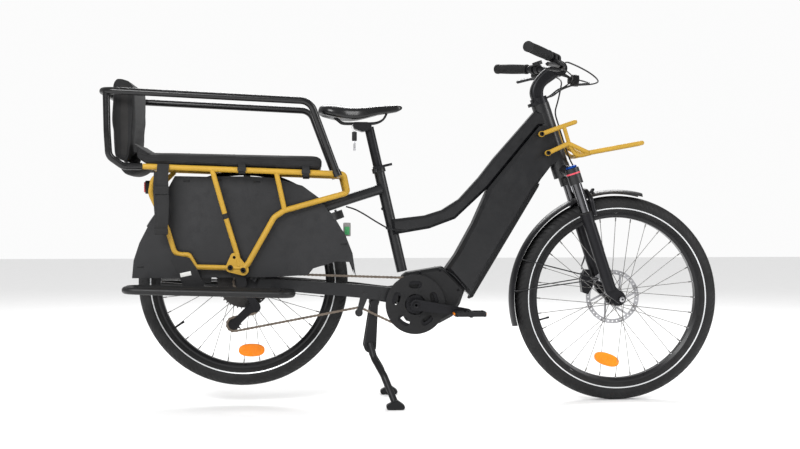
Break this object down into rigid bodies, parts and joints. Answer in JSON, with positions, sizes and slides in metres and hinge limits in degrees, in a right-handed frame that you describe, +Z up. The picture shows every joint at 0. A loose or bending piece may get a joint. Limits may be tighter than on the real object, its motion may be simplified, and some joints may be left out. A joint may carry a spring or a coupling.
{
  "type": "cargo bicycle",
  "caption": "Long-tail electric cargo bicycle on its double-leg stand, with passenger seat, safety bar, footboards and front rack.",
  "frame": {"origin": "on the floor, midway along the bicycle's length and on its centre plane", "axes": "+X forwards, +Y to the rider's left, +Z up; the drive side is -Y"},
  "size_m": [2.001, 0.6484, 1.1449],
  "materials": {
    "frame_paint": "matt black paint over aluminium",
    "motor_case": "satin black painted castings",
    "cover_plastic": "satin black moulded plastic",
    "battery_case": "black case over metal cells",
    "skirt_plastic": "dark grey sheet",
    "board_plastic": "textured black",
    "carrier_paint": "mustard powder coat over aluminium",
    "bar_paint": "gloss black powder coat over aluminium",
    "bracket_paint": "black paint",
    "fork_metal": "satin black anodised",
    "stanchion": "dark polished tube in a black crown",
    "headset_metal": "black anodised",
    "tyre_rubber": "black rubber, fine tread",
    "rim_metal": "black anodised",
    "spoke_steel": "bright stainless wire",
    "hub_metal": "black anodised shell",
    "disc_steel": "brushed stainless",
    "cog_steel": "plated steel",
    "chain_steel": "brownish plated steel",
    "crank_metal": "black forged",
    "mech_metal": "black painted",
    "pulley_plastic": "black",
    "stand_metal": "black forged",
    "caliper_metal": "black anodised with bright bolts",
    "lever_metal": "satin black",
    "control_plastic": "black housings",
    "lamp_plastic": "black housing",
    "grip_rubber": "ribbed black rubber",
    "hose_jacket": "black jacket",
    "seat_fabric": "black woven cover over foam",
    "webbing": "black webbing",
    "saddle_cover": "glossy black synthetic leather",
    "post_metal": "satin black anodised",
    "lamp_lens": "red lens in a black case",
    "lock_case": "black case",
    "lock_steel": "hardened steel"
  },
  "bodies": {
    "frame": {"head_tube": "frame_paint", "headset": "headset_metal", "top_tube": "frame_paint", "down_tube": "frame_paint", "battery": "battery_case", "battery_cover": "cover_plastic", "seat_tube": "frame_paint", "rear_triangle": "frame_paint", "motor": "motor_case", "chain": "chain_steel", "derailleur": "mech_metal", "rear_fender": "cover_plastic", "rear_carrier": "carrier_paint", "carrier_brackets": "bracket_paint", "footboards": "board_plastic", "wheel_skirts": "skirt_plastic", "seat_cushion": "seat_fabric", "backrest": "seat_fabric", "safety_bar": "bar_paint", "carrier_strap": "webbing", "tail_light": "lamp_lens", "front_rack": "carrier_paint", "ring_lock": "lock_case", "rear_caliper": "caliper_metal", "rear_hose": "hose_jacket"},
    "clamp_lever": {"clamp_lever": "lever_metal"},
    "seat_post": {"seatpost": "post_metal", "saddle": "saddle_cover"},
    "steering": {"fork_crown": "stanchion", "stem": "fork_metal", "handlebar": "fork_metal", "grips": "grip_rubber", "bar_controls": "control_plastic", "headlight": "lamp_plastic", "control_hoses": "hose_jacket"},
    "brake_lever_right": {"brake_lever_right": "lever_metal"},
    "brake_lever_left": {"brake_lever_left": "lever_metal"},
    "shift_lever": {"shift_lever": "control_plastic"},
    "fork_slider": {"fork_lowers": "fork_metal", "front_fender": "cover_plastic", "front_caliper": "caliper_metal"},
    "front_wheel": {"front_tyre": "tyre_rubber", "front_rim": "rim_metal", "front_spokes": "spoke_steel", "front_hub": "hub_metal", "front_rotor": "disc_steel"},
    "rear_wheel": {"rear_tyre": "tyre_rubber", "rear_rim": "rim_metal", "rear_spokes": "spoke_steel", "rear_hub": "hub_metal"},
    "cassette": {"cassette": "cog_steel"},
    "crank": {"crankset": "crank_metal", "ring_guard": "cover_plastic"},
    "pedal_right": {"pedal_right": "cover_plastic"},
    "pedal_left": {"pedal_left": "cover_plastic"},
    "jockey_upper": {"jockey_upper": "pulley_plastic"},
    "jockey_lower": {"jockey_lower": "pulley_plastic"},
    "idler_wheel": {"idler_wheel": "pulley_plastic"},
    "stand": {"stand": "stand_metal"},
    "lock_shackle": {"lock_shackle": "lock_steel"}
  },
  "joints": [
    {"name": "steering_turn", "type": "hinge", "parent": "frame", "child": "steering", "pos_m": [0.4085, 0, 0.978], "axis": [-0.3102, 0, 0.9507], "range_deg": [-60, 60]},
    {"name": "fork_travel", "type": "slide", "parent": "steering", "child": "fork_slider", "axis": [-0.3102, 0, 0.9507], "range_m": [0, 0.05], "stiffness_N_per_m": 8000, "springref_m": -0.03, "deforming": ["control_hoses"]},
    {"name": "front_wheel_spin", "type": "hinge", "parent": "fork_slider", "child": "front_wheel", "pos_m": [0.6625, 0, 0.338], "axis": [0, 1, 0], "continuous": true},
    {"name": "rear_wheel_spin", "type": "hinge", "parent": "frame", "child": "rear_wheel", "pos_m": [-0.5645, 0, 0.397], "axis": [0, 1, 0], "continuous": true},
    {"name": "crank_spin", "type": "hinge", "parent": "frame", "child": "crank", "pos_m": [-0.0095, 0, 0.323], "axis": [0, 1, 0], "continuous": true},
    {"name": "pedal_right_spin", "type": "hinge", "parent": "crank", "child": "pedal_right", "pos_m": [0.15868, 0, 0.29817], "axis": [0, 1, 0], "continuous": true},
    {"name": "pedal_left_spin", "type": "hinge", "parent": "crank", "child": "pedal_left", "pos_m": [-0.17768, 0, 0.34783], "axis": [0, 1, 0], "continuous": true},
    {"name": "cassette_spin", "type": "hinge", "parent": "frame", "child": "cassette", "pos_m": [-0.5645, 0, 0.397], "axis": [0, 1, 0], "continuous": true},
    {"name": "jockey_upper_spin", "type": "hinge", "parent": "frame", "child": "jockey_upper", "pos_m": [-0.5375, 0, 0.316], "axis": [0, 1, 0], "continuous": true},
    {"name": "jockey_lower_spin", "type": "hinge", "parent": "frame", "child": "jockey_lower", "pos_m": [-0.5935, 0, 0.262], "axis": [0, 1, 0], "continuous": true},
    {"name": "idler_spin", "type": "hinge", "parent": "frame", "child": "idler_wheel", "pos_m": [-0.1921, 0, 0.2968], "axis": [0, 1, 0], "continuous": true},
    {"name": "stand_fold", "type": "hinge", "parent": "frame", "child": "stand", "pos_m": [-0.1415, 0, 0.325], "axis": [0, 1, 0], "range_deg": [0, 62]},
    {"name": "saddle_height", "type": "slide", "parent": "frame", "child": "seat_post", "axis": [-0.2249, 0, 0.9744], "range_m": [-0.1, 0.09]},
    {"name": "clamp_lever_swing", "type": "hinge", "parent": "frame", "child": "clamp_lever", "pos_m": [-0.14014, -0.028, 0.76285], "axis": [0.2249, 0, -0.9744], "range_deg": [0, 150]},
    {"name": "lock_shackle_slide", "type": "hinge", "parent": "frame", "child": "lock_shackle", "pos_m": [-0.3135, 0, 0.5927], "axis": [-0.3305, 0, 0.9438], "range_deg": [-100, 0]},
    {"name": "shift_lever_push", "type": "hinge", "parent": "steering", "child": "shift_lever", "pos_m": [0.4363, -0.15335, 1.07615], "axis": [0, 0, 1], "range_deg": [0, 20], "stiffness_Nm_per_rad": 0.3, "springref_deg": -20.05},
    {"name": "brake_lever_right_pull", "type": "hinge", "parent": "steering", "child": "brake_lever_right", "pos_m": [0.43217, -0.18496, 1.08521], "axis": [-0.676, 0.4349, -0.5949], "range_deg": [0, 14], "stiffness_Nm_per_rad": 1, "springref_deg": -20.05},
    {"name": "brake_lever_left_pull", "type": "hinge", "parent": "steering", "child": "brake_lever_left", "pos_m": [0.43217, 0.18496, 1.08521], "axis": [0.676, 0.4349, 0.5949], "range_deg": [0, 14], "stiffness_Nm_per_rad": 1, "springref_deg": -20.05}
  ],
  "couplings": [
    {"joint": "cassette_spin", "follows": "crank_spin", "ratio": 2.8},
    {"joint": "jockey_upper_spin", "follows": "crank_spin", "ratio": -3.8182},
    {"joint": "jockey_lower_spin", "follows": "crank_spin", "ratio": 3.8182},
    {"joint": "idler_spin", "follows": "crank_spin", "ratio": -4.9984}
  ]
}
